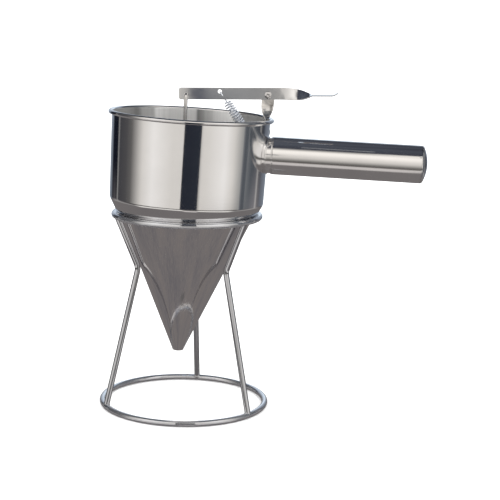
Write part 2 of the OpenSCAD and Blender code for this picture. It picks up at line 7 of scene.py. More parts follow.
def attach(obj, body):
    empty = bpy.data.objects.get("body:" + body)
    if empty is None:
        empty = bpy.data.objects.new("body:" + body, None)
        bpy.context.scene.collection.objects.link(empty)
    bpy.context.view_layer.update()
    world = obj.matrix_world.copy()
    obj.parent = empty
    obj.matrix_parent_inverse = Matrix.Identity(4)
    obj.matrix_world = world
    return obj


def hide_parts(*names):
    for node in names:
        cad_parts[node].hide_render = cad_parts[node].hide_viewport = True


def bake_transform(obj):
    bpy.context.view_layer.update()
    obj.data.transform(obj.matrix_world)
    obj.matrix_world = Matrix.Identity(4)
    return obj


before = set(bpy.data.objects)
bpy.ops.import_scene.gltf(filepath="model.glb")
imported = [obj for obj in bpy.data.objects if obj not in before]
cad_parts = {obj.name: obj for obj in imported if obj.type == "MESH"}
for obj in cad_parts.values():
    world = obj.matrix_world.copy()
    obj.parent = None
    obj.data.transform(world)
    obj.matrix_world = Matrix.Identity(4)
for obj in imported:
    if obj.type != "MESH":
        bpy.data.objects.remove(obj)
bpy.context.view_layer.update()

# Sizes in millimetres and degrees, as in the part's source, with radii for most of its diameters
METRE = 0.001
WIRE_R, BASE_R, SEAT_Z, SEAT_INSET, KNEE_Z, LEG_TURN = 3.0, 84.0, 197.5, 4.1, 145.0, -4.5
RIM_R, BEAD_R, SHEET, CUP_H, CUP_DRAFT = 83.0, 2.2, 0.8, 87.2, 1.6
SHOULDER_H, LIP_TURN = 15.4, 0.75
CONE_DROP, TIP_R, OUTLET_R, LEAN = 141.8, 6.0, 4.2, 2.3
HANDLE_R, HANDLE_LEN, HANDLE_DEPTH, HANDLE_RISE, TUBE_WALL = 19.0, 156.8, 37.4, 0.6, 1.2
NECK_LEN, KNUCKLE, CROWN, VENT_D, VENT_TURN = 3.2, 3.0, 40.0, 1.7, 28.6
STRIP_W, STRIP_T, PIVOT_H, PIVOT_INSET, PIVOT_DROP = 12.0, 1.2, 23.0, 3.5, 1.5
LEVER_RISE, ROD_ARM, LEVER_END, HOOK_ARM, HOOK_RISE = 3.8, 82.1, 7.5, 48.4, 2.1
TWIST_START, TWIST_LEN, TWIST_DROP, PAD_LEN, TIP_BEND, TIP_TURN = 27.2, 16.6, 1.8, 19.0, 9.8, 42.0
BRACKET_W, LEAF_H, LEAF_DEPTH, JOGGLE_LEN, BRACKET_LEG = 12.6, 13.9, 4.5, 6.5, 15.0
WALL_RIVET_DROP, RIVET_R, PIVOT_HEAD_D, WALL_HEAD_D, HEAD_H = 3.0, 2.0, 7.4, 5.2, 1.3
WASHER_T, WASHER_D, CLIP_T, CLIP_D = 0.8, 9.0, 1.0, 8.0
ROD_R, ROD_BEND, SEAT_RISE, PLUG_H = 2.0, 3.0, 8.8, 10.0
FOOT_SHANK, HOOK_HOLE_R, ANCHOR_DEPTH, ANCHOR_REACH = 9.0, 2.0, 36.7, 6.4

# Sizes that follow the photograph a little more closely than the part's source
KNEE_INSET, KNEE_BEND = 22.2, 14.0
CORNER_R, NECK_STEP, SHOULDER_ROUND = 7.5, 1.0, 1.8
COIL_WIRE, COIL_D, COIL_PITCH, TOP_SHANK = 1.3, 9.4, 2.6, 11.6
WALL_HEAD_H, SLOW_START, TWIST_POWER, DIMPLE_R, DIMPLE_DEPTH = 0.8, 12.0, 1.9, 1.5, 0.42

# Gaps between the pieces in millimetres, as in the part's source
REST_GAP, SIDE_GAP, SIDE_PLAY, WELD_GAP, RUN_GAP, PRESS_GAP, HOOK_GAP = 0.4, 0.3, 0.15, 0.03, 0.06, 0.01, 0.5

# How many flats a full turn has
ROUND_CUP, ROUND_RING, ROUND_TUBE, ROUND_NECK = 320, 288, 256, 192
ROUND_PLUG, ROUND_RIVET, ROUND_VENT, ROUND_DRILL = 96, 64, 48, 40

# Places that follow from the sizes
CUP_IN_R = RIM_R - 2 * BEAD_R
CUP_TOP_R = CUP_IN_R + SHEET
CUP_CORNER_R = CUP_TOP_R - CUP_DRAFT
SEAT_R = CUP_CORNER_R - SEAT_INSET
RIM_TOP = SHOULDER_H + CUP_H
BEAD_Z = RIM_TOP - BEAD_R
WALL_SLOPE = CUP_DRAFT / (BEAD_Z - SHOULDER_H)
WALL_ANGLE = atan(WALL_SLOPE)
SEAT_REACH = WIRE_R + REST_GAP
SHOULDER_ANGLE = atan(SEAT_INSET / SHOULDER_H) + asin(SEAT_REACH / hypot(SEAT_INSET, SHOULDER_H))
SHOULDER_SKIN = SHEET / cos(SHOULDER_ANGLE)
SEAT_SHIFT = -(SEAT_R - SEAT_REACH * cos(SHOULDER_ANGLE)) * tan(SHOULDER_ANGLE) * tan(radians(LEAN))
HANDLE_Z = RIM_TOP - HANDLE_DEPTH
PIVOT = (CUP_IN_R - PIVOT_INSET, RIM_TOP + PIVOT_H)
LEVER_Y = ROD_BEND + SIDE_GAP + STRIP_T / 2
WASHER_Y = LEVER_Y + STRIP_T / 2 + SIDE_PLAY
BRACKET_Y = WASHER_Y + WASHER_T + WELD_GAP + STRIP_T / 2


def turned(angle, axis):
    return Matrix.Rotation(angle, 4, axis)


def moved(x, y, z):
    return Matrix.Translation((x, y, z))


HOPPER = moved(SEAT_SHIFT, 0, SEAT_Z) @ turned(radians(LEAN), "Y")
HANDLE = HOPPER @ moved(0, 0, HANDLE_Z) @ turned(pi / 2 - radians(HANDLE_RISE), "Y")
LEVER = HOPPER @ moved(PIVOT[0], LEVER_Y, PIVOT[1]) @ turned(-radians(LEVER_RISE), "Y")


def wall_r(z):
    return CUP_TOP_R - WALL_SLOPE * (BEAD_Z - z)


def shoulder_r(z):
    return CUP_CORNER_R - tan(SHOULDER_ANGLE) * (SHOULDER_H - z)


def on_lever(along, across):
    a = radians(LEVER_RISE)
    return PIVOT[0] + along * cos(a) - across * sin(a), PIVOT[1] + along * sin(a) + across * cos(a)


def ease(x):
    x = max(0.0, min(1.0, x))
    return x * x * (3 - 2 * x)


def arc(cx, cz, r, start, end, steps):
    """Points round a centre, from a start angle to an end angle in degrees."""
    turns = [radians(start + (end - start) * i / steps) for i in range(steps + 1)]
    return [(cx + r * cos(a), cz + r * sin(a)) for a in turns]


def round_section(cx, cz, r, sides):
    """Points all the way round a centre, each once."""
    return arc(cx, cz, r, 0, 360 - 360 / sides, sides - 1)


# Ways of making the metal
def spun(profile, steps, closed=True):
    """Sheet or bar spun round the Z axis from its half section."""
    bm = bmesh.new()
    dots = [bm.verts.new((r, 0, z)) for r, z in profile]
    ends = dots[1:] + dots[:1] if closed else dots[1:]
    lines = [bm.edges.new(pair) for pair in zip(dots, ends)]
    bmesh.ops.spin(
        bm, geom=dots + lines, cent=(0, 0, 0), axis=(0, 0, 1), angle=2 * pi, steps=steps, use_merge=True)
    bmesh.ops.remove_doubles(bm, verts=bm.verts, dist=1e-4)
    bmesh.ops.dissolve_degenerate(bm, dist=1e-5, edges=bm.edges)
    bmesh.ops.recalc_face_normals(bm, faces=bm.faces)
    return bm


def drawn(section, stations):
    """A section drawn from station to station, each a matrix, and closed at both ends."""
    bm = bmesh.new()
    ring = [bm.verts.new(stations[0] @ Vector((x, y, 0))) for x, y in section]
    loop = [bm.edges.new(pair) for pair in zip(ring, ring[1:] + ring[:1])]
    first = list(loop)
    for before, after in zip(stations, stations[1:]):
        made = bmesh.ops.extrude_edge_only(bm, edges=loop)["geom"]
        fresh = [g for g in made if isinstance(g, bmesh.types.BMVert)]
        held = set(fresh)
        loop = [g for g in made if isinstance(g, bmesh.types.BMEdge) and set(g.verts) <= held]
        bmesh.ops.transform(bm, matrix=after @ before.inverted(), verts=fresh)
    for end in (first, loop):
        bmesh.ops.edgeloop_fill(bm, edges=end)
    bmesh.ops.recalc_face_normals(bm, faces=bm.faces)
    return bm


def along_path(points):
    """Stations square to a path, carried along it without twisting."""
    here = [Vector(p) for p in points]
    ahead = [(b - a).normalized() for a, b in zip(here, here[1:])]
    ways = [ahead[0]] + [(a + b).normalized() for a, b in zip(ahead, ahead[1:])] + [ahead[-1]]
    side = ways[0].orthogonal().normalized()
    stations = []
    for place, way in zip(here, ways):
        side = (side - way * side.dot(way)).normalized()
        up = way.cross(side)
        stations.append(Matrix.Translation(place) @ Matrix((side, up, way)).transposed().to_4x4())
    return stations


def wire(points, r, sides=24):
    circle = [(r * cos(2 * pi * i / sides), r * sin(2 * pi * i / sides)) for i in range(sides)]
    return drawn(circle, along_path(points))


def along_y(x, y, z):
    """Places what points up Z so that it points backwards along Y."""
    return moved(x, y, z) @ turned(-pi / 2, "X")


def in_scene(name, mesh):
    obj = bpy.data.objects.new(name, mesh)
    bpy.context.scene.collection.objects.link(obj)
    return obj


def pierced(bm, holes):
    """Drills round holes along Y, each given as x, z and radius."""
    sheet_mesh, drill_mesh = bpy.data.meshes.new("blank"), bpy.data.meshes.new("drills")
    bm.to_mesh(sheet_mesh)
    bm.free()
    drills = bmesh.new()
    for x, z, r in holes:
        bmesh.ops.create_cone(
            drills, cap_ends=True, segments=ROUND_DRILL, radius1=r, radius2=r, depth=STRIP_W,
            matrix=along_y(x, 0, z))
    drills.to_mesh(drill_mesh)
    drills.free()
    blank, drill = in_scene("blank", sheet_mesh), in_scene("drills", drill_mesh)
    cut = blank.modifiers.new("holes", "BOOLEAN")
    cut.operation, cut.solver, cut.object = "DIFFERENCE", "EXACT", drill
    ready = blank.evaluated_get(bpy.context.evaluated_depsgraph_get())
    out = bmesh.new()
    out.from_mesh(ready.to_mesh())
    for o in (blank, drill):
        bpy.data.objects.remove(o)
    return out


def piece(name, bm, place, body, finish, *nodes, slot, sharp=32, inside=None, inside_finish=None):
    """Puts a finished shape where it belongs and lets it ride on its body."""
    if inside:
        for f in bm.faces:
            f.material_index = int(inside(f.calc_center_median()))
    bm.transform(Matrix.Scale(METRE, 4) @ place)
    bm.normal_update()
    for f in bm.faces:
        f.smooth = True
    for e in bm.edges:
        e.smooth = len(e.link_faces) == 2 and e.calc_face_angle(0) < radians(sharp)
    mesh = bpy.data.meshes.new(name)
    bm.to_mesh(mesh)
    bm.free()
    mesh.materials.append(finish)
    if inside:
        mesh.materials.append(inside_finish)
    obj = in_scene(name, mesh)
    if body:
        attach(obj, body)
    if nodes:
        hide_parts(*nodes)
    return obj


# Finishes
def srgb(r, g, b):
    flat = [c / 255 for c in (r, g, b)]
    return tuple(c / 12.92 if c <= 0.04045 else ((c + 0.055) / 1.055) ** 2.4 for c in flat) + (1.0,)


def level(angle):
    """Share of the way from straight down to straight up."""
    return (angle + 90) / 180


def heading(angle):
    """Share of a full turn, from -180 to 180 degrees."""
    return (angle + 180) / 360


class Recipe:
    """A small bench for joining a material's nodes."""

    def __init__(self, name):
        self.material = bpy.data.materials.new(name)
        self.material.use_nodes = True
        self.tree = self.material.node_tree
        self.tree.nodes.clear()
        self.out = self.add("ShaderNodeOutputMaterial")

    def add(self, kind, **settings):
        node = self.tree.nodes.new(kind)
        for key, value in settings.items():
            setattr(node, key, value)
        return node

    def join(self, source, target):
        self.tree.links.new(source, target)

    def feed(self, node, inputs):
        for key, value in inputs.items():
            if isinstance(value, bpy.types.NodeSocket):
                self.join(value, node.inputs[key])
            else:
                node.inputs[key].default_value = value
        return node

    def maths(self, operation, a, b=0.0):
        return self.feed(self.add("ShaderNodeMath", operation=operation), {0: a, 1: b}).outputs[0]

    def vector_maths(self, operation, inputs):
        return self.feed(self.add("ShaderNodeVectorMath", operation=operation), inputs).outputs[0]

    def split(self, vector):
        return self.feed(self.add("ShaderNodeSeparateXYZ"), {0: vector}).outputs

    def gather(self, inputs):
        return self.feed(self.add("ShaderNodeCombineXYZ"), inputs).outputs[0]

    def place(self, location=(0, 0, 0), rotation=(0, 0, 0), scale=(1, 1, 1)):
        """Object coordinates, moved, turned and stretched."""
        where = self.add("ShaderNodeTexCoord").outputs["Object"]
        settings = {"Vector": where, "Location": location, "Rotation": rotation, "Scale": scale}
        return self.feed(self.add("ShaderNodeMapping"), settings).outputs[0]

    def noise(self, vector, scale, detail=3.0, rough=0.5):
        settings = {"Vector": vector, "Scale": scale, "Detail": detail, "Roughness": rough}
        return self.feed(self.add("ShaderNodeTexNoise"), settings).outputs["Fac"]

    def spread(self, value, low, high, out_low, out_high):
        settings = {0: value, 1: low, 2: high, 3: out_low, 4: out_high}
        return self.feed(self.add("ShaderNodeMapRange"), settings).outputs[0]

    def ramp(self, value, stops):
        node = self.add("ShaderNodeValToRGB")
        marks = node.color_ramp.elements
        while len(marks) > 1:
            marks.remove(marks[-1])
        marks[0].position, marks[0].color = stops[0]
        for position, colour in stops[1:]:
            marks.new(position).color = colour
        self.join(value, node.inputs[0])
        return node.outputs[0]

    def blend(self, share, first, second):
        node = self.add("ShaderNodeMix", data_type="RGBA")
        return self.feed(node, {"Factor": share, 6: first, 7: second}).outputs[2]

    def bump(self, height, strength, distance, after=None):
        settings = {"Height": height, "Strength": strength, "Distance": distance}
        if after is not None:
            settings["Normal"] = after
        return self.feed(self.add("ShaderNodeBump"), settings).outputs[0]

    def metal(self, colour, roughness, normal=None, metallic=1.0):
        settings = {"Base Color": colour, "Roughness": roughness, "Metallic": metallic}
        if normal is not None:
            settings["Normal"] = normal
        shader = self.feed(self.add("ShaderNodeBsdfPrincipled"), settings)
        self.join(shader.outputs[0], self.out.inputs[0])
        return self.material

    def glow(self, colour):
        """Light of its own, which doesn't count as a lamp."""
        light = self.feed(self.add("ShaderNodeEmission"), {"Color": colour, "Strength": 1.0})
        self.join(light.outputs[0], self.out.inputs[0])
        self.material.cycles.emission_sampling = "NONE"
        return self.material


def steel(
        name, light, dark, rough, hair, hair_scale, hair_depth, wave_depth=0.0, wave_scale=30,
        metallic=1.0):
    """Stainless steel with polishing lines stretched along hair, soft stains and faint waviness."""
    r = Recipe(name)
    lines = r.noise(r.place(scale=hair), hair_scale, 4, 0.6)
    stains = r.noise(r.place(), 22, 3, 0.55)
    colour = r.ramp(stains, [(0.3, dark + (1,)), (0.72, light + (1,))])
    gloss = r.maths("ADD", r.spread(lines, 0.3, 0.7, *rough), r.spread(stains, 0.3, 0.7, 0.0, 0.03))
    normal = r.bump(lines, 1.0, hair_depth)
    if wave_depth:
        normal = r.bump(r.noise(r.place(), wave_scale, 1, 0.4), 1.0, wave_depth, normal)
    return r.metal(colour, gloss, normal, metallic)


def cone_steel():
    """Satin sheet with streaks that run down the cone from its rim to its tip."""
    r = Recipe("satin_cone")
    x, y, z = r.split(r.place(location=(0.009, 0, 0), rotation=(0, radians(-LEAN), 0)))
    around_x, around_y, _ = r.split(r.vector_maths("NORMALIZE", {0: r.gather({0: x, 1: y})}))
    streaks = r.gather({0: around_x, 1: around_y, 2: r.maths("MULTIPLY", z, 3.0)})
    wide, fine = r.noise(streaks, 5.5, 5, 0.62), r.noise(streaks, 60, 4, 0.6)
    both = r.maths("ADD", r.maths("MULTIPLY", wide, 0.65), r.maths("MULTIPLY", fine, 0.35))
    tones = [(0.36, (0.73, 0.73, 0.77, 1)), (0.5, (0.90, 0.88, 0.875, 1)), (0.64, (1.0, 0.955, 0.91, 1))]
    return r.metal(r.ramp(both, tones), r.spread(fine, 0.3, 0.7, 0.05, 0.11), r.bump(fine, 0.4, 0.00001))


# Painted reflections on the cup's inner wall, broad bands of light and shade standing for the panels it
# catches: heading from the back, towards the handle, and brightness
PAINTED_INNER_REFLECTIONS = [
    (-180, 0.4), (-120, 0.4), (-75, 0.3), (-66, 0.32), (-56, 0.27), (-53, 0.21), (-50, 0.25), (-46, 0.46),
    (-36.5, 0.5), (-34.5, 0.78), (-30, 0.76), (-24, 0.66), (-7, 0.64), (-3.2, 0.66), (-1.6, 0.22), (1, 0.25),
    (4, 0.4), (8, 0.5), (13, 0.66), (19, 0.84), (27, 0.86), (31.5, 0.36), (45, 0.31), (75, 0.27), (120, 0.4),
    (180, 0.4),
]


def satin_inside():
    """The satin inside of the cup, with broad bands of painted reflection that run down its wall and fine
    brushing marks.
    """
    r = Recipe("satin_inside")
    x, y, _ = r.split(r.place(location=(-0.004, 0, 0)))
    turn = r.spread(r.maths("ARCTAN2", x, y), -pi, pi, 0, 1)
    marks = r.noise(r.place(scale=(60, 60, 1.5)), 6, 4, 0.6)
    # The brightness by heading round the wall is painted reflection; the marks noise is the steel's real
    # brushing
    tone = r.ramp(turn, [(heading(a), (g, g * 0.99, g * 0.97, 1)) for a, g in PAINTED_INNER_REFLECTIONS])
    colour = r.vector_maths("SCALE", {0: tone, "Scale": r.spread(marks, 0.3, 0.7, 0.9, 1.05)})
    return r.metal(colour, r.spread(marks, 0.3, 0.7, 0.28, 0.36), metallic=0.4)


cup_finish = steel(
    "polished_cup", light=(0.885, 0.88, 0.88), dark=(0.82, 0.815, 0.815), rough=(0.05, 0.09),
    hair=(2, 2, 60), hair_scale=30, hair_depth=0.000004, wave_depth=0.00004, wave_scale=9)
cone_finish = cone_steel()
inside_finish = satin_inside()
tube_finish = steel(
    "polished_tube", light=(0.92, 0.91, 0.90), dark=(0.85, 0.84, 0.835), rough=(0.07, 0.12),
    hair=(1.5, 40, 40), hair_scale=40, hair_depth=0.000005, wave_depth=0.00002, wave_scale=12)
wire_finish = steel(
    "bright_wire", light=(0.82, 0.83, 0.85), dark=(0.70, 0.71, 0.74), rough=(0.05, 0.09),
    hair=(3, 3, 3), hair_scale=200, hair_depth=0.000001, metallic=0.96)
# The legs take the rings' wire made darker: painted shade for their dimmer look
leg_shaded_finish = steel(
    "leg_wire", light=(0.68, 0.69, 0.715), dark=(0.56, 0.57, 0.60), rough=(0.04, 0.08),
    hair=(3, 3, 3), hair_scale=200, hair_depth=0.000001)
strip_finish = steel(
    "polished_strip", light=(0.88, 0.88, 0.885), dark=(0.80, 0.80, 0.81), rough=(0.07, 0.12),
    hair=(2, 30, 30), hair_scale=60, hair_depth=0.000002, wave_depth=0.000006, wave_scale=34)
leaf_finish = steel(
    "bracket_strip", light=(0.88, 0.86, 0.83), dark=(0.76, 0.74, 0.72), rough=(0.14, 0.2),
    hair=(30, 30, 2), hair_scale=60, hair_depth=0.000008, wave_depth=0.00002, wave_scale=60)
rivet_finish = steel(
    "rivet_steel", light=(0.82, 0.81, 0.80), dark=(0.66, 0.65, 0.65), rough=(0.08, 0.14),
    hair=(3, 3, 3), hair_scale=400, hair_depth=0.000002)
spring_finish = steel(
    "spring_wire", light=(0.80, 0.83, 0.88), dark=(0.68, 0.71, 0.77), rough=(0.1, 0.18),
    hair=(3, 3, 3), hair_scale=500, hair_depth=0.000003, metallic=0.6)
rod_finish = steel(
    "rod_steel", light=(0.9, 0.885, 0.86), dark=(0.72, 0.705, 0.69), rough=(0.08, 0.14),
    hair=(30, 30, 3), hair_scale=90, hair_depth=0.00001, wave_depth=0.00006, wave_scale=90, metallic=0.95)
plug_finish = steel(
    "turned_plug", light=(0.68, 0.67, 0.66), dark=(0.52, 0.51, 0.50), rough=(0.2, 0.3),
    hair=(3, 3, 90), hair_scale=30, hair_depth=0.00002)
weld_finish = steel(
    "plated_weld", light=(0.74, 0.75, 0.77), dark=(0.5, 0.5, 0.52), rough=(0.16, 0.3),
    hair=(3, 3, 3), hair_scale=500, hair_depth=0.00006)


# Stand
def ring_of_wire(ring_r, z):
    return spun(round_section(ring_r, z, WIRE_R, 32), ROUND_RING)


def leg_path():
    """Middle line of a leg in the plane of X and Z, from ring to ring round its knee."""
    knee = Vector((SEAT_R - KNEE_INSET, 0, KNEE_Z))
    foot, top = Vector((BASE_R, 0, WIRE_R)), Vector((SEAT_R, 0, SEAT_Z))
    down, up = (foot - knee).normalized(), (top - knee).normalized()
    half = acos(down.dot(up)) / 2
    centre = knee + (down + up).normalized() * KNEE_BEND / sin(half)
    cut = KNEE_BEND / tan(half)
    start, end = knee + down * cut - centre, knee + up * cut - centre
    bend = [centre + start.slerp(end, i / 12).normalized() * KNEE_BEND for i in range(13)]
    runs = [foot + (bend[0] - foot) * s for s in (0, 0.04, 0.96)]
    return runs + bend + [bend[-1] + (top - bend[-1]) * s for s in (0.05, 0.95, 1)]


def weld_lump(name, spot, size, turn):
    """A plated weld lump, a little uneven, stretched along the ring."""
    bm = bmesh.new()
    bmesh.ops.create_icosphere(bm, subdivisions=4, radius=1)
    for v in bm.verts:
        v.co *= 1 + 0.03 * sin(7 * v.co.x + 3) * sin(9 * v.co.y + 1) * sin(8 * v.co.z)
    bmesh.ops.scale(bm, vec=size, verts=bm.verts)
    place = turned(radians(turn), "Z") @ moved(*spot)
    piece(name, bm, place, "stand", weld_finish, slot="chrome_wire")


for name, ring_r, z, node in (
    ("base_ring_wire", BASE_R, WIRE_R, "stand_base_ring"),
    ("seat_ring_wire", SEAT_R, SEAT_Z, "stand_top_ring"),
):
    piece(name, ring_of_wire(ring_r, z), Matrix(), "stand", wire_finish, node, slot="chrome_wire")
for side, turn in (("back", 90 + LEG_TURN), ("left", 210 + LEG_TURN), ("right", -30 + LEG_TURN)):
    leg, about = wire(leg_path(), WIRE_R), turned(radians(turn), "Z")
    piece(f"leg_wire_{side}", leg, about, "stand", leg_shaded_finish, f"stand_leg_{side}", slot="chrome_wire")
    weld_lump(f"weld_{side}_foot", (BASE_R - 0.9, 0, WIRE_R + 1.2), (2.9, 4.0, 2.6), turn)
    weld_lump(f"weld_{side}_head", (SEAT_R - 1.0, 0, SEAT_Z - 1.0), (2.8, 4.2, 2.8), turn)
for name, ring_r, z, turn in (("base", BASE_R, WIRE_R, 93), ("seat", SEAT_R, SEAT_Z, 70)):
    weld_lump(f"weld_{name}_ring_joint", (ring_r - 0.25, 0, z + 0.25), (2.95, 1.6, 2.95), turn)


# Hopper
def corner_arc(r, steps=12):
    """Round from the straight wall to the shoulder, for the outer or the inner face."""
    turn = SHOULDER_ANGLE - WALL_ANGLE
    cut = CORNER_R * tan(turn / 2)
    x = CUP_CORNER_R + cut * sin(WALL_ANGLE) - CORNER_R * cos(WALL_ANGLE)
    z = SHOULDER_H + cut * cos(WALL_ANGLE) + CORNER_R * sin(WALL_ANGLE)
    turns = [WALL_ANGLE + turn * i / steps for i in range(steps + 1)]
    return [(x + r * cos(a), z - r * sin(a)) for a in turns]


def guarded(points, guard=0.25):
    """Adds a point close to both ends of each long straight run, which keeps its shading flat."""
    out = [points[0]]
    for a, b in zip(points, points[1:]):
        length = hypot(b[0] - a[0], b[1] - a[1])
        if length > 6 * guard:
            for s in (guard / length, 1 - guard / length):
                out.append((a[0] + (b[0] - a[0]) * s, a[1] + (b[1] - a[1]) * s))
        out.append(b)
    return out


CURL_START, CURL_END, TUCK_OUT, TUCK_DROP, UNDER_RIM = -128, -40, 0.18, 0.35, 1.9


def cup_profile():
    """Down the outside from under the rolled rim, round the lip, up the inside and over the roll."""
    outer, inner = corner_arc(CORNER_R), corner_arc(CORNER_R - SHEET)[::-1]
    lip_r = shoulder_r(-WIRE_R) - LIP_TURN
    bead_x = CUP_IN_R + BEAD_R
    under = [(wall_r(BEAD_Z - UNDER_RIM), BEAD_Z - UNDER_RIM)]
    down = under + outer + [(shoulder_r(0), 0), (lip_r, -WIRE_R)]
    up = [(lip_r - SHOULDER_SKIN, -WIRE_R), (shoulder_r(0) - SHOULDER_SKIN, 0)] + inner + [(CUP_IN_R, BEAD_Z)]
    roll = arc(bead_x, BEAD_Z, BEAD_R, 180, CURL_START, 40)
    curl = arc(bead_x, BEAD_Z, BEAD_R - SHEET, CURL_START, CURL_END, 8)
    tuck = [(CUP_TOP_R + TUCK_OUT, BEAD_Z - TUCK_DROP)]
    return guarded(down) + guarded(up)[:-1] + roll + curl + tuck


def inside_cup(spot):
    """Whether a place on the cup's sheet is on its inner face."""
    skin_middle = min(wall_r(spot.z), shoulder_r(spot.z)) - SHEET * 0.6
    return spot.z < BEAD_Z and hypot(spot.x, spot.y) < skin_middle


piece(
    "cup_sheet", spun(cup_profile(), ROUND_CUP), HOPPER, "hopper", cup_finish, "hopper_cup",
    slot="polished_sheet", sharp=40, inside=inside_cup, inside_finish=inside_finish)

lip_z = -WIRE_R
cone_lip_r = shoulder_r(lip_z) - LIP_TURN - SHOULDER_SKIN - WELD_GAP
tip_z = 2 * SHEET - CONE_DROP
cone_slope = (cone_lip_r - TIP_R) / (lip_z - tip_z)
cone_skin = SHEET / cos(atan(cone_slope))


def cone_r(z):
    return TIP_R + cone_slope * (z - tip_z)


def cone_profile():
    """Down the outside, round the rolled in tip and up the inside."""
    top, low = WIRE_R / 2, 3.2 - CONE_DROP
    tip = [(TIP_R + 0.25, tip_z + 0.5), (TIP_R - 0.08, tip_z - 0.35), (TIP_R - 0.45, -CONE_DROP + 0.35)]
    tip += [(TIP_R - SHEET - 0.1, -CONE_DROP), (OUTLET_R + 0.15, -CONE_DROP), (OUTLET_R, -CONE_DROP + 0.15)]
    tip += [(OUTLET_R, SHEET - CONE_DROP)]
    inner = guarded([(TIP_R - cone_skin, tip_z), (cone_r(top) - cone_skin, top)])
    return guarded([(cone_r(top), top), (cone_r(low), low)]) + tip + inner


cone = spun(cone_profile(), ROUND_TUBE)
piece("cone_sheet", cone, HOPPER, "hopper", cone_finish, "hopper_cone", slot="satin_sheet", sharp=40)

# Handle
NECK_ROOT = 60.0
shoulder_start = wall_r(HANDLE_Z) + NECK_LEN
tube_start = shoulder_start + SHOULDER_ROUND
knuckle_r = HANDLE_R - KNUCKLE
crown_drop = sqrt((CROWN - KNUCKLE) ** 2 - knuckle_r ** 2)
end_h = CROWN - crown_drop
tube_end = shoulder_start + HANDLE_LEN - end_h
neck_r = HANDLE_R - NECK_STEP


def neck_reach(turn, r):
    """Where a line along the neck at a turn round it meets the cup's wall."""
    x_up, y = r * cos(turn), r * sin(turn)
    return sqrt(wall_r(HANDLE_Z + x_up) ** 2 - y * y)


def ferrule():
    """The neck, spun from a flat root, which is then fitted to the cup's curved wall."""
    rest, back = neck_r - TUBE_WALL, tube_start + 0.2
    rounding = arc(HANDLE_R - SHOULDER_ROUND, tube_start, SHOULDER_ROUND, -90, 0, 16)
    shoulder = [p for p in rounding if p[0] > neck_r]
    profile = guarded([(neck_r, NECK_ROOT), (neck_r, shoulder[0][1] - 0.01)]) + shoulder
    profile += [(HANDLE_R - 0.12, tube_start + 0.15), (HANDLE_R - TUBE_WALL, back)]
    profile += [(rest, back), (rest, NECK_ROOT)]
    bm = spun(profile, ROUND_NECK)
    for v in bm.verts:
        if v.co.z < NECK_ROOT + 0.5:
            reach = neck_reach(atan2(v.co.y, -v.co.x), hypot(v.co.x, v.co.y))
            v.co.z = reach + 0.02 + (v.co.z - NECK_ROOT)
    return bm


def neck_bead():
    """The weld bead round the neck's root."""
    turns = [2 * pi * i / 120 for i in range(121)]
    r = neck_r + 0.25
    return wire([(-r * cos(t), r * sin(t), neck_reach(t, r) + 0.25) for t in turns], 0.75, 16)


def grip_tube():
    """The tube's outer and inner wall, with eased ends."""
    inner, start, end = HANDLE_R - TUBE_WALL, tube_start + 0.3, tube_end - 0.12
    outer = [(HANDLE_R - 0.2, start), (HANDLE_R, start + 0.2), (HANDLE_R, end - 0.15), (HANDLE_R - 0.15, end)]
    return spun(guarded([(inner, end), (inner, start)]) + guarded(outer), ROUND_TUBE)


def dished_end():
    """A shallow dome that runs into a small knuckle, with a thin wall."""
    swing = degrees(asin(knuckle_r / (CROWN - KNUCKLE)))
    outer = arc(0, -crown_drop, CROWN, 90, 90 - swing, 24)
    knuckle = arc(knuckle_r, 0, KNUCKLE, 90 - swing, 0, 12)[1:]
    back = [(HANDLE_R - 0.12, -0.02), (HANDLE_R - TUBE_WALL, -0.02)]
    inner = arc(0, -crown_drop, CROWN - TUBE_WALL, 90 - swing, 90, 16)
    return spun([(max(x, 0.0), z) for x, z in outer + knuckle + back + inner], ROUND_NECK, closed=False)


# Near-black painted shade for the floor of the vent hole, standing for the dark inside of the tube
def vent_shade():
    r = Recipe("vent_shade")
    hole_shade_noise = r.noise(r.place(), 900, 2)
    return r.metal(r.ramp(hole_shade_noise, [(0.3, (0.01, 0.01, 0.012, 1)), (0.7, (0.03, 0.03, 0.034, 1))]), 0.6)


piece("handle_neck", ferrule(), HANDLE, "hopper", tube_finish, "handle_ferrule", slot="polished_sheet")
piece("neck_weld_bead", neck_bead(), HANDLE, "hopper", tube_finish, slot="polished_sheet")
piece("grip_tube", grip_tube(), HANDLE, "hopper", tube_finish, "handle_tube", slot="polished_tube")
cap_place = HANDLE @ moved(0, 0, tube_end)
piece("grip_end_cap", dished_end(), cap_place, "hopper", tube_finish, "handle_end_cap", slot="polished_tube")

vent_r = VENT_D / 2
vent_spot = HANDLE @ moved(0, 0, tube_end - VENT_D) @ turned(-radians(VENT_TURN), "Z") @ turned(pi / 2, "X")
vent_rim = spun(round_section(vent_r + 0.1, 0, 0.26, 16), ROUND_VENT)
bmesh.ops.translate(vent_rim, vec=(0, 0, HANDLE_R - 0.03), verts=vent_rim.verts)
piece("vent_edge", vent_rim, vent_spot, "hopper", tube_finish, slot="polished_tube")
# A dark disc a little under the tube's skin, painted as the shade inside the vent hole
vent_disc = [(0, HANDLE_R - 0.02), (vent_r - 0.02, HANDLE_R - 0.01)]
vent_disc += [(vent_r, HANDLE_R - 0.4), (0, HANDLE_R - 0.5)]
vent_dark = spun(vent_disc, ROUND_VENT, closed=False)
piece("vent_hole", vent_dark, vent_spot, "hopper", vent_shade(), slot="polished_tube")

# Strip pieces
EDGE_ROUND = 0.28


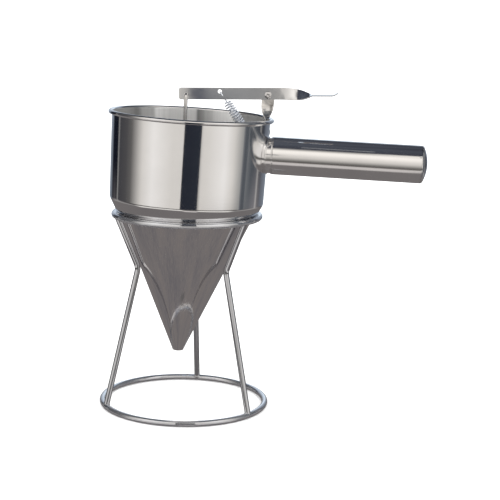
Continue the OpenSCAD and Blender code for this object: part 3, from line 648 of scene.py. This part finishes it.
def strip_section():
    """A strip's section with rounded edges, a unit wide and its real thickness."""
    half_w, thick, across = 0.5, STRIP_T / 2, EDGE_ROUND / STRIP_W
    flat_end = half_w - across - 0.02
    out = []
    for sx, sy, start in ((1, 1, 90), (1, -1, 0), (-1, -1, -90), (-1, 1, 180)):
        x_mid, y_mid = sx * (half_w - across), sy * (thick - EDGE_ROUND)
        quarter = arc(0, 0, 1, start, start - 90, 4)
        corner = [(x_mid + x * across, y_mid + y * EDGE_ROUND) for x, y in quarter]
        guard = [(sx * flat_end, sy * thick)]
        out += guard + corner if sx == sy else corner + guard
    return out


def strip_station(along, up, lean, turn, half):
    """A strip's place in the plane of X and Z: where it is, how its path leans and how far it is turned."""
    rise = Vector((-sin(lean), 0, cos(lean)))
    wide = cos(turn) * rise + Vector((0, sin(turn), 0))
    flat = -sin(turn) * rise + Vector((0, cos(turn), 0))
    axes = Matrix((wide * 2 * half, flat, wide.cross(flat)))
    return moved(along, 0, up) @ axes.transposed().to_4x4()


def rounded_end(corner, half, steps=8):
    """Way in from the strip's end and half width there, round a corner."""
    turns = [radians(12 + 78 * i / steps) for i in range(steps + 1)]
    return [(corner * (1 - cos(a)), half - corner * (1 - sin(a))) for a in turns]


def lever_strip():
    """On edge from the rod's end to the pivot, slowly twisted flat into the pad, with a turned up tip."""
    half = STRIP_W / 2
    end_x = -ROD_ARM - LEVER_END
    stations = [(end_x + inset, PIVOT_DROP, 0, 0, w) for inset, w in rounded_end(STRIP_W / 6, half)]
    stations += [(x, PIVOT_DROP, 0, 0, half) for x in (-86, -70, -50, -30, -10, SLOW_START - 0.3)]
    pad_start, pad_rise = TWIST_START + TWIST_LEN, PIVOT_DROP - TWIST_DROP
    slow_len = pad_start - SLOW_START
    for i in range(49):
        s = i / 48
        along, up = SLOW_START + slow_len * s, PIVOT_DROP - TWIST_DROP * ease(s)
        stations.append((along, up, 0, pi / 2 * s ** TWIST_POWER, half))
    stations += [(pad_start + PAD_LEN * s, pad_rise, 0, pi / 2, half) for s in (0.02, 0.3, 0.7)]
    tip_arc = TIP_BEND * radians(TIP_TURN)
    tip = [((tip_arc - STRIP_W / 3) * i / 8, half) for i in range(8)]
    tip += [(tip_arc - inset, w) for inset, w in reversed(rounded_end(STRIP_W / 3, half))]
    for s, w in tip:
        a = s / TIP_BEND
        along, up = pad_start + PAD_LEN + TIP_BEND * sin(a), pad_rise + TIP_BEND * (1 - cos(a))
        stations.append((along, up, a, pi / 2, w))
    pivot_hole, pin_hole = (0, 0, RIVET_R + RUN_GAP), (-ROD_ARM, PIVOT_DROP / 2, ROD_R + 0.4)
    hook_hole = (-HOOK_ARM, PIVOT_DROP + HOOK_RISE, HOOK_HOLE_R)
    bm = drawn(strip_section(), [strip_station(*s) for s in stations])
    return pierced(bm, [pivot_hole, pin_hole, hook_hole])


piece("thumb_lever", lever_strip(), LEVER, "lever", strip_finish, "lever", slot="bright_strip", sharp=30)

leaf_top, leaf_foot = RIM_TOP + LEAF_H, RIM_TOP - LEAF_DEPTH
leg_top = leaf_foot - JOGGLE_LEN
leg_foot = leg_top - BRACKET_LEG
wall_rivet_z = leg_top - WALL_RIVET_DROP
bracket_half = BRACKET_W / 2


def leg_reach(z):
    return sqrt((wall_r(z) - SHEET) ** 2 - bracket_half ** 2) - WELD_GAP - STRIP_T / 2


def leg_skew(z):
    return asin(BRACKET_Y / leg_reach(z))


def bracket_station(z, half):
    """Flat on the wall at the foot, then out over the joggle and twisted square by the leaf's top."""
    leaf = max(0, min(1, (z - leaf_foot) / (leaf_top - leaf_foot)))
    joggle = ease((z - leg_top) / (leaf_foot - leg_top))
    leg_x = leg_reach(z) * cos(leg_skew(z))
    x, turn = leg_x + (PIVOT[0] - leg_x) * joggle, -(pi / 2 + leg_skew(z)) * (1 - leaf)
    return strip_station(x, z, pi / 2, turn, half)


def bracket_strip():
    heights = [leg_foot, leg_foot + 0.3, leg_top - 0.3]
    heights += [leg_top + JOGGLE_LEN * i / 12 for i in range(13)]
    heights += [leaf_foot + (leaf_top - leaf_foot) * i / 32 for i in range(1, 33)]
    stations = [(z, bracket_half) for z in heights]
    for a in [radians(88 - 76 * i / 12) for i in range(13)]:
        stations.append((PIVOT[1] + bracket_half * cos(a), bracket_half * sin(a)))
    bm = drawn(strip_section(), [bracket_station(*s) for s in stations])
    return pierced(bm, [(PIVOT[0], PIVOT[1], RIVET_R + PRESS_GAP)])


piece(
    "bracket_leaf", bracket_strip(), HOPPER @ moved(0, BRACKET_Y, 0), "hopper", leaf_finish, "lever_bracket",
    slot="bright_strip", sharp=30)


def rivet_dome(d, dimple, height, steps=14):
    """A low domed head with a rounded edge, and a dimple in its middle where it was spun over."""
    edge = height * 0.3
    rise = height - edge
    dome = (d * d / 4 + rise * rise) / (2 * rise)
    out = [(d / 2 - 0.02, 0), (d / 2, 0.08), (d / 2, edge * 0.7)]
    for i in range(1, steps + 1):
        r = d / 2 * (1 - i / steps)
        z = edge + sqrt(dome * dome - r * r) - (dome - rise)
        if dimple and r < dimple:
            z -= DIMPLE_DEPTH * (1 - (r / dimple) ** 2)
        out.append((r, z))
    return out


def rivet(start, end, head_d, dimple, height):
    """A rivet along Z. The dimple is in the head at its start, and the height is that of its far head."""
    low = [(r, start - z) for r, z in reversed(rivet_dome(head_d, dimple, HEAD_H))]
    high = [(r, end + z) for r, z in rivet_dome(head_d, 0.0, height)]
    return spun(low + [(RIVET_R, start), (RIVET_R, end)] + high, ROUND_RIVET, closed=False)


def washer(inner, outer, t, ease_r=0.15):
    low, high = ease_r, t - ease_r
    ring = arc(outer - ease_r, low, ease_r, -90, 0, 4) + arc(outer - ease_r, high, ease_r, 0, 90, 4)
    ring += arc(inner + ease_r, high, ease_r, 90, 180, 4) + arc(inner + ease_r, low, ease_r, 180, 270, 4)
    return spun(ring, ROUND_RIVET)


front, back = LEVER_Y - STRIP_T / 2 - SIDE_PLAY, BRACKET_Y + STRIP_T / 2 + PRESS_GAP
pivot_place = HOPPER @ along_y(PIVOT[0], 0, PIVOT[1])
piece(
    "pivot_rivet_steel", rivet(front, back, PIVOT_HEAD_D, DIMPLE_R, HEAD_H), pivot_place,
    "hopper", rivet_finish, "pivot_rivet", slot="rivet_steel", sharp=50)
inside_x = leg_reach(wall_rivet_z - WALL_HEAD_D / 2) - STRIP_T / 2 - PRESS_GAP
outside_x = wall_r(wall_rivet_z + WALL_HEAD_D / 2) + PRESS_GAP
wall_turn = turned(leg_skew(wall_rivet_z), "Z") @ turned(pi / 2, "Y")
wall_rivet_place = HOPPER @ moved(0, 0, wall_rivet_z) @ wall_turn
piece(
    "wall_rivet_steel", rivet(inside_x, outside_x, WALL_HEAD_D, 0.0, WALL_HEAD_H), wall_rivet_place,
    "hopper", rivet_finish, "bracket_rivet", slot="rivet_steel", sharp=50)
piece(
    "pivot_washer_steel", washer(RIVET_R + RUN_GAP, WASHER_D / 2, WASHER_T),
    HOPPER @ along_y(PIVOT[0], WASHER_Y, PIVOT[1]), "hopper", rivet_finish, "pivot_washer",
    slot="rivet_steel")

# Valve
rod_hole = on_lever(-ROD_ARM, PIVOT_DROP / 2)
plug_z = SEAT_RISE - CONE_DROP
rod_tilt = atan(rod_hole[0] / (rod_hole[1] - plug_z))
rod_len = hypot(rod_hole[0], rod_hole[1] - plug_z)
clip_y = LEVER_Y + STRIP_T / 2 + SIDE_GAP
pin_end = clip_y + 2 * CLIP_T
boss_top = PLUG_H * 1.2


def rod_wire():
    """Up from the plug's socket and round the bend into the lever."""
    rise = [(0, 0, z) for z in (boss_top - 11.9, boss_top, 60, 120, 180, rod_len - ROD_BEND - 0.3)]
    turns = [radians(90 * i / 12) for i in range(13)]
    bend = [(0, ROD_BEND * (1 - cos(a)), rod_len - ROD_BEND * (1 - sin(a))) for a in turns]
    pin = [(0, y, rod_len) for y in (ROD_BEND + 0.3, pin_end - 0.3, pin_end)]
    return wire(rise + bend + pin, ROD_R, 32)


def valve_plug():
    """A cone that fits the hopper's own, with a blunt nose below and a boss for the rod above."""
    low, high = plug_z - PLUG_H / 2, plug_z + PLUG_H / 2
    gap = REST_GAP / cos(atan(cone_slope))
    low_r, high_r = cone_r(low) - cone_skin - gap, cone_r(high) - cone_skin - gap
    land, boss_r = PLUG_H * 0.15, ROD_R * 1.75
    nose, boss_z = low - PLUG_H * 0.2, plug_z + boss_top
    points = [(0, nose), (low_r * 0.5 - 0.3, nose), (low_r * 0.5, nose + 0.15), (low_r, low), (high_r, high)]
    points += [(high_r - 0.15, high + 0.25), (high_r - land, high + land), (boss_r, high + land)]
    points += [(boss_r, boss_z - 0.3), (boss_r - 0.3, boss_z), (0, boss_z)]
    return spun(points, ROUND_PLUG, closed=False)


ROD = HOPPER @ moved(0, 0, plug_z) @ turned(rod_tilt, "Y")
piece("rod_wire", rod_wire(), ROD, "valve", rod_finish, "valve_rod", slot="rod_steel")
piece(
    "rod_clip_ring", washer(ROD_R + PRESS_GAP, CLIP_D / 2, CLIP_T),
    HOPPER @ along_y(rod_hole[0], clip_y, rod_hole[1]), "valve", spring_finish, "rod_clip",
    slot="spring_wire")
piece("valve_cone_plug", valve_plug(), HOPPER, "valve", plug_finish, "valve_plug", slot="plug_steel")

# Return spring
hook_hole = on_lever(-HOOK_ARM, PIVOT_DROP + HOOK_RISE)
anchor_hole = (CUP_IN_R - ANCHOR_REACH, RIM_TOP - ANCHOR_DEPTH)
run = (hook_hole[0] - anchor_hole[0], hook_hole[1] - anchor_hole[1])
spring_len = hypot(*run)
coil_len = spring_len - TOP_SHANK - FOOT_SHANK
curls = round(coil_len / COIL_PITCH)
coil_r = (COIL_D - COIL_WIRE) / 2
hook_bend = STRIP_T / 2 + SIDE_GAP + COIL_WIRE / 2
hook_seat = HOOK_HOLE_R - COIL_WIRE / 2 - HOOK_GAP
foot_centre = hook_seat + hook_bend
top_centre = spring_len - foot_centre
hook_len = 2.5 * COIL_WIRE


def spring_path(per_turn=24):
    """Hook, shank, coil, shank and hook, in one line."""
    path = [(0, -hook_bend, foot_centre + hook_len)]
    path += [(0, y, foot_centre + z) for y, z in arc(0, 0, hook_bend, 180, 360, 12)]
    steps = curls * per_turn
    for i in range(steps + 1):
        turn = 2 * pi * i / per_turn
        r = coil_r * ease(min(1, i / per_turn, curls - i / per_turn))
        path.append((r * cos(turn), hook_bend + r * sin(turn), FOOT_SHANK + coil_len * i / steps))
    path += [(0, y, top_centre + z) for y, z in arc(0, 0, hook_bend, 0, 180, 12)]
    return path + [(0, -hook_bend, top_centre - hook_len)]


SPRING = HOPPER @ moved(anchor_hole[0], LEVER_Y, anchor_hole[1]) @ turned(atan2(run[0], run[1]), "Y")
spring = piece(
    "return_coil", wire(spring_path(), COIL_WIRE / 2, 12), SPRING, None, spring_finish, "return_spring",
    slot="spring_wire")
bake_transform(spring)

# The spring's anchor on the inner wall is the part's own, with the strips' finish
anchor_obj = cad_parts["spring_anchor"]
for s in anchor_obj.material_slots:
    s.material = strip_finish
if not anchor_obj.material_slots:
    anchor_obj.data.materials.append(strip_finish)


# Studio, in metres
def stage_sheet(name, bm, finish):
    mesh = bpy.data.meshes.new(name)
    bm.to_mesh(mesh)
    bm.free()
    mesh.materials.append(finish)
    obj = in_scene(name, mesh)
    return obj


def only_in_reflections(obj):
    obj.visible_camera = obj.visible_diffuse = obj.visible_shadow = False
    obj.visible_transmission = obj.visible_volume_scatter = False


TENT_R, TENT_Z, TENT_GAIN = 1.2, 0.25, 1.2
NAVY, GREY, EDGE, GLINT = srgb(20, 23, 32), srgb(84, 88, 94), srgb(176, 186, 196), srgb(134, 133, 132)
WHITE, WARM, BLACK = srgb(242, 239, 236), srgb(220, 216, 211), (0, 0, 0, 1)
TABLE, BAND, SHINE, SHADE = srgb(117, 113, 113), srgb(206, 201, 199), srgb(236, 232, 228), srgb(158, 156, 155)
ROOF, ZENITH, DUSK = srgb(58, 61, 71), srgb(86, 90, 99), srgb(72, 66, 62)

# The panels all round, by heading in degrees from the front, towards the handle
PANELS = [
    (-180, EDGE), (-164, srgb(150, 158, 168)), (-150, srgb(130, 137, 147)), (-142, srgb(104, 110, 120)),
    (-137, NAVY), (-119.5, NAVY), (-118, GLINT), (-115.5, GLINT), (-114, srgb(66, 66, 70)),
    (-96, srgb(78, 77, 79)), (-85, srgb(100, 98, 97)), (-76, srgb(160, 157, 154)), (-64, WARM), (-47, WHITE),
    (-18, WARM), (2, WARM), (29, WARM), (57, WHITE), (70, WARM), (80, srgb(180, 178, 175)),
    (90, srgb(128, 130, 132)), (106, GREY), (121, srgb(70, 73, 80)), (123, GLINT), (126, GLINT),
    (128, srgb(58, 60, 66)), (135, srgb(66, 69, 76)), (142, srgb(102, 107, 117)), (162, srgb(122, 129, 139)),
    (172, EDGE),
]
# How bright they are by height in degrees: at the sides, before the handle, and at the back
SIDE_GAINS = [(-27, 0), (-19, 0.1), (-15.5, 0.35), (-13.3, 0.86), (24, 0.86), (30, 1.06), (48, 1.1), (54, 0)]
GRIP_GAINS = [
    (-31, 0), (-27, 0.08), (-24, 0.14), (-18, 0.23), (-12, 0.4), (-6, 0.58), (0, 0.76), (12, 0.93),
    (24, 1.15), (33, 1.24), (40, 1.12), (46, 0.7), (50, 0.35), (56, 0),
]
BACK_GAINS = [(-15.5, 0), (-13, 0.9), (-4, 0.9), (3, 1.5), (26, 1.5), (34, 0)]
# Table below, dark roof above, by height in degrees
OVERHEAD = [(48, BLACK), (54, ROOF), (90, ZENITH)]
AHEAD = [(-90, TABLE), (-51, TABLE), (-46, BAND), (-34, BAND), (-28, DUSK), (-25, BLACK)] + OVERHEAD
WINGS = [(-90, TABLE), (-40, TABLE), (-36.5, SHINE), (-27, SHINE), (-22, BLACK)] + OVERHEAD
BESIDE = [(-90, TABLE), (-37, TABLE), (-34, SHADE), (-32, SHADE), (-27, TABLE), (-20, BLACK)] + OVERHEAD
BEHIND = [(-90, TABLE), (-17, TABLE), (-13, BLACK), (26, BLACK), (34, ROOF), (90, ZENITH)]
# Where those parts begin and end, as headings from the front in radians
GRIP_WAY, GRIP_SPAN, SIDE_SPAN, LOW_SPAN = 0.17, (0.17, 0.23), (1.25, 1.45), (1.25, 2.2)
BACK_SPAN, BEHIND_SPAN, LOWERED = (2.15, 2.4), (2.2, 2.5), 14 / 180


def tent_light():
    """Soft panels at left and right, a dark roof, and a grey-brown table, as the polished steel sees them."""
    r = Recipe("studio_tent_light")
    x, y, z = r.split(r.place(location=(0, 0, -TENT_Z)))
    around = r.maths("ARCTAN2", x, r.maths("MULTIPLY", y, -1.0))
    flat = r.maths("SQRT", r.maths("ADD", r.maths("MULTIPLY", x, x), r.maths("MULTIPLY", y, y)))
    round_share = r.spread(around, -pi, pi, 0, 1)
    rise_share = r.spread(r.maths("ARCTAN2", z, flat), -pi / 2, pi / 2, 0, 1)
    from_front = r.maths("ABSOLUTE", around)
    from_grip = r.maths("ABSOLUTE", r.maths("SUBTRACT", around, GRIP_WAY))

    def heights(stops, value=rise_share):
        return r.ramp(value, [(level(a), c) for a, c in stops])

    def gains(stops):
        return heights([(a, (g, g, g, 1)) for a, g in stops])

    def change(value, span, before, after):
        return r.blend(r.spread(value, *span, 0, 1), before, after)

    sides = r.ramp(round_share, [(heading(a), c) for a, c in PANELS])
    gain = change(from_grip, GRIP_SPAN, gains(GRIP_GAINS), gains(SIDE_GAINS))
    gain = change(from_front, BACK_SPAN, gain, gains(BACK_GAINS))
    lowered = r.maths("SUBTRACT", rise_share, r.spread(from_front, *LOW_SPAN, 0, LOWERED))
    base = change(from_grip, GRIP_SPAN, heights(AHEAD), heights(WINGS))
    base = change(from_front, SIDE_SPAN, base, heights(BESIDE, lowered))
    base = change(from_front, BEHIND_SPAN, base, heights(BEHIND))
    lit = r.vector_maths("MULTIPLY", {0: sides, 1: gain})
    bright = r.vector_maths("SCALE", {0: lit, "Scale": TENT_GAIN})
    return r.glow(r.vector_maths("ADD", {0: bright, 1: base}))


tent = bmesh.new()
bmesh.ops.create_uvsphere(tent, u_segments=96, v_segments=48, radius=TENT_R)
bmesh.ops.translate(tent, vec=(0, 0, TENT_Z), verts=tent.verts)
only_in_reflections(stage_sheet("studio_tent", tent, tent_light()))


def card(name, middle, width, height, tones, slant=0.0, turn=0.0):
    """A flat card that only the metal sees, with tones from its left edge to its right edge."""
    bm = bmesh.new()
    bmesh.ops.create_grid(bm, x_segments=1, y_segments=1, size=0.5)
    bmesh.ops.scale(bm, vec=(width, height, 1), verts=bm.verts)
    bmesh.ops.rotate(bm, cent=(0, 0, 0), matrix=Matrix.Rotation(pi / 2, 3, "X"), verts=bm.verts)
    for v in bm.verts:
        v.co.x += slant * v.co.z
    r = Recipe(name + "_light")
    x = r.split(r.place())[0]
    stops = [(share, srgb(*tone)) for share, tone in tones]
    obj = stage_sheet(name, bm, r.glow(r.ramp(r.spread(x, -width / 2, width / 2, 0, 1), stops)))
    obj.matrix_world = moved(*middle) @ turned(turn, "Z")
    only_in_reflections(obj)


card(
    "cup_flag", (0.0165, -0.12, 0.2515), 0.0356, 0.103, [(0, (40, 43, 52)), (1, (44, 48, 57))], slant=0.053)
card("low_flag", (0.0112, -0.095, 0.0055), 0.024, 0.017, [(0, (100, 98, 98)), (1, (96, 94, 95))])
card(
    "side_flag", (0.26, -0.043, 0.24), 0.046, 0.18,
    [(0, (176, 175, 172)), (0.22, (118, 120, 124)), (0.5, (84, 88, 94)), (1, (88, 92, 98))], turn=pi / 2)
card("pad_card", (0.1525, -0.035, 0.316), 0.075, 0.012, [(0, (128, 130, 134)), (1, (140, 142, 146))])

# Tones along the lever's card, by millimetres from the hopper's middle
LEVER_TONES = [
    (-45, (200, 198, 194)), (-24, (192, 189, 184)), (-21.5, (86, 88, 98)), (-14, (74, 78, 90)),
    (-6, (92, 95, 104)), (-1.5, (128, 129, 132)), (12, (138, 139, 141)), (35, (143, 144, 145)),
    (60, (148, 148, 147)), (88, (160, 158, 156)),
]
first, last = LEVER_TONES[0][0], LEVER_TONES[-1][0]
lever_tones = [((x - first) / (last - first), tone) for x, tone in LEVER_TONES]
card("lever_card", (0.0215, -0.23, 0.303), 0.133, 0.03, lever_tones)


def pale_paper():
    r = Recipe("pale_floor")
    tone = r.ramp(r.noise(r.place(), 3, 2), [(0.3, (0.90, 0.90, 0.90, 1)), (0.7, (0.93, 0.93, 0.93, 1))])
    surface = r.feed(r.add("ShaderNodeBsdfDiffuse"), {"Color": tone})
    r.join(surface.outputs[0], r.out.inputs[0])
    return r.material


floor = bmesh.new()
bmesh.ops.create_grid(floor, x_segments=1, y_segments=1, size=30)
stage_sheet("pale_floor", floor, pale_paper()).visible_glossy = False

WORLD_LIGHT = 1.9
world = bpy.data.worlds.new("studio")
bpy.context.scene.world = world
world.use_nodes = True
world.node_tree.nodes["Background"].inputs[0].default_value = (1, 1, 1, 1)
world.node_tree.nodes["Background"].inputs[1].default_value = WORLD_LIGHT
bpy.context.scene.view_settings.view_transform = "Standard"

# Camera, fitted to the rings, the cup, the cone, the lever and the handle in the photograph:
# focal length in pixels, place in millimetres and turns in radians
FOCAL, DISTANCE, HEIGHT, ACROSS = 1322.132, 1322.369, 406.690, 121.043
PITCH, YAW, ROLL = 0.182138, 0.0425145, 0.0271119
PHOTO_WIDTH, SENSOR_WIDTH = 500, 36
camera = bpy.data.cameras.new("photo_camera")
camera.sensor_width = SENSOR_WIDTH
camera.lens = FOCAL / PHOTO_WIDTH * SENSOR_WIDTH
camera.clip_start, camera.clip_end = 0.05, 100
camera_obj = in_scene("photo_camera", camera)
level_right = Vector((cos(YAW), sin(YAW), 0))
forward = Vector((-sin(YAW) * cos(PITCH), cos(YAW) * cos(PITCH), -sin(PITCH)))
level_up = level_right.cross(forward)
right = cos(ROLL) * level_right + sin(ROLL) * level_up
up = cos(ROLL) * level_up - sin(ROLL) * level_right
axes = Matrix((right, up, -forward)).transposed().to_4x4()
camera_obj.matrix_world = Matrix.Translation(Vector((ACROSS, -DISTANCE, HEIGHT)) * METRE) @ axes
bpy.context.scene.camera = camera_obj
